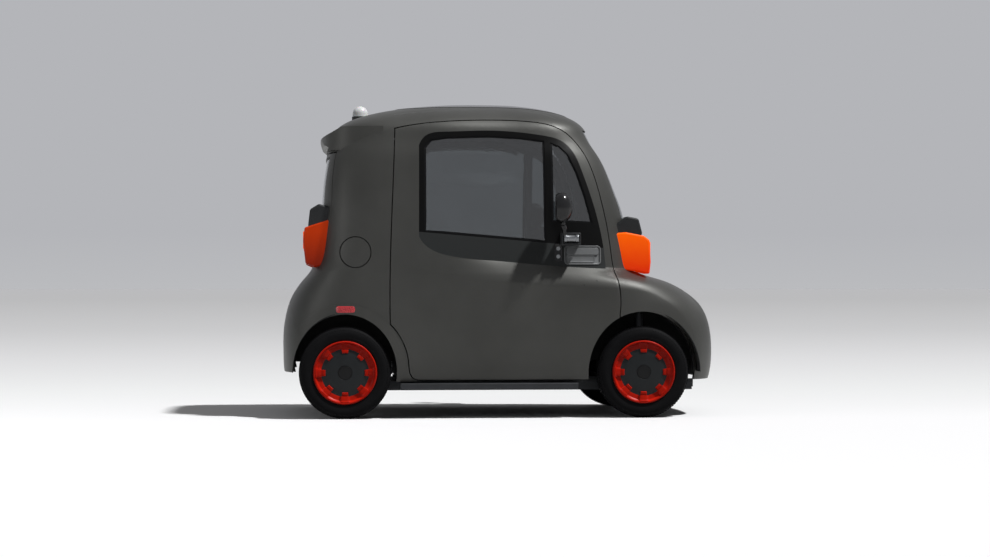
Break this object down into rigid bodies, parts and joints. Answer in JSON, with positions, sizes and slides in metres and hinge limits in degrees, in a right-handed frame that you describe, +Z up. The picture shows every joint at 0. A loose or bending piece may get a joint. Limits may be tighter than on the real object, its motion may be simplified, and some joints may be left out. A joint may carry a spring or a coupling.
{
  "type": "microcar",
  "caption": "Tall two-seat microcar with rear-hinged doors, top-hinged tailgate, front bonnet lid, steered front wheels and corner lamp pods.",
  "frame": {"origin": "on the ground under the middle of the vehicle's overall box", "axes": "+X forward, +Y to the vehicle's left, +Z up; it stands on its wheels"},
  "size_m": [2.5732, 1.65, 1.858],
  "materials": {
    "battery": "matte",
    "black_trim": "satin",
    "body": "satin",
    "drive": "matte",
    "floor": "matte",
    "frame_metal": "satin",
    "gloss_black": "gloss",
    "interior": "matte",
    "orange_lens": "gloss",
    "red_lens": "gloss",
    "seat": "matte",
    "steel": "satin",
    "tinted_glass": "polished",
    "tyre": "matte",
    "wheel": "satin",
    "white_dome": "gloss"
  },
  "bodies": {
    "chassis": {"antenna_dome": "white_dome", "battery_block": "battery", "boot_floor": "floor", "chassis_frame": "frame_metal", "dashboard": "interior", "floor_platform": "floor", "front_arms": "steel", "front_body": "body", "front_lamp_pods": "orange_lens", "front_pod_caps": "gloss_black", "front_towers": "frame_metal", "rear_axle": "drive", "rear_bumper": "body", "rear_quarter_left": "body", "rear_quarter_right": "body", "roof_panel": "body", "seats": "seat", "side_frames": "body", "steering_rack": "steel", "windscreen": "tinted_glass"},
    "door_right": {"door_glass_right": "tinted_glass", "door_panel_right": "body", "door_surround_right": "black_trim", "mirror_right": "gloss_black"},
    "door_left": {"door_glass_left": "tinted_glass", "door_panel_left": "body", "door_surround_left": "black_trim", "mirror_left": "gloss_black"},
    "tailgate": {"tailgate_panel": "body", "tailgate_glass": "tinted_glass", "tail_lamp_pods": "red_lens", "tail_pod_caps": "gloss_black"},
    "bonnet": {"bonnet_lid": "body"},
    "flap": {"fuel_flap": "body"},
    "steering_wheel": {"steering_wheel": "interior"},
    "knuckle_right": {"knuckle_right": "steel"},
    "knuckle_left": {"knuckle_left": "steel"},
    "wheel_front_right": {"tyre_front_right": "tyre", "rim_front_right": "wheel"},
    "wheel_front_left": {"tyre_front_left": "tyre", "rim_front_left": "wheel"},
    "wheel_rear_right": {"tyre_rear_right": "tyre", "rim_rear_right": "wheel"},
    "wheel_rear_left": {"tyre_rear_left": "tyre", "rim_rear_left": "wheel"}
  },
  "joints": [
    {"name": "door_right_hinge", "type": "hinge", "parent": "chassis", "child": "door_right", "pos_m": [-0.661, -0.69, 0.9], "axis": [0, 0, -1], "range_deg": [0, 65]},
    {"name": "door_left_hinge", "type": "hinge", "parent": "chassis", "child": "door_left", "pos_m": [-0.661, 0.69, 0.9], "axis": [0, 0, 1], "range_deg": [0, 65]},
    {"name": "tailgate_hinge", "type": "hinge", "parent": "chassis", "child": "tailgate", "pos_m": [-1.02, 0, 1.548], "axis": [0, 1, 0], "range_deg": [0, 75]},
    {"name": "bonnet_hinge", "type": "hinge", "parent": "chassis", "child": "bonnet", "pos_m": [0.843, 0, 0.848], "axis": [0, -1, 0], "range_deg": [0, 60]},
    {"name": "flap_hinge", "type": "hinge", "parent": "chassis", "child": "flap", "pos_m": [-0.7785, -0.6765, 0.962], "axis": [0, 0, 1], "range_deg": [0, 85]},
    {"name": "steering_turn", "type": "hinge", "parent": "chassis", "child": "steering_wheel", "pos_m": [0.35224, 0.29, 0.8892], "axis": [-0.8829, 0, 0.4695], "range_deg": [-480, 480]},
    {"name": "kingpin_right", "type": "hinge", "parent": "chassis", "child": "knuckle_right", "pos_m": [0.81, -0.54335, 0.2665], "axis": [0, 0.2079, 0.9781], "range_deg": [-32, 32]},
    {"name": "kingpin_left", "type": "hinge", "parent": "chassis", "child": "knuckle_left", "pos_m": [0.81, 0.54335, 0.2665], "axis": [0, -0.2079, 0.9781], "range_deg": [-32, 32]},
    {"name": "wheel_front_right_spin", "type": "hinge", "parent": "knuckle_right", "child": "wheel_front_right", "pos_m": [0.81, -0.61, 0.2665], "axis": [0, 1, 0], "continuous": true},
    {"name": "wheel_front_left_spin", "type": "hinge", "parent": "knuckle_left", "child": "wheel_front_left", "pos_m": [0.81, 0.61, 0.2665], "axis": [0, 1, 0], "continuous": true},
    {"name": "wheel_rear_right_spin", "type": "hinge", "parent": "chassis", "child": "wheel_rear_right", "pos_m": [-0.924, -0.61, 0.2665], "axis": [0, 1, 0], "continuous": true},
    {"name": "wheel_rear_left_spin", "type": "hinge", "parent": "chassis", "child": "wheel_rear_left", "pos_m": [-0.924, 0.61, 0.2665], "axis": [0, 1, 0], "continuous": true}
  ],
  "couplings": [
    {"joint": "kingpin_right", "follows": "steering_turn", "ratio": 0.066667},
    {"joint": "kingpin_left", "follows": "steering_turn", "ratio": 0.066667}
  ]
}
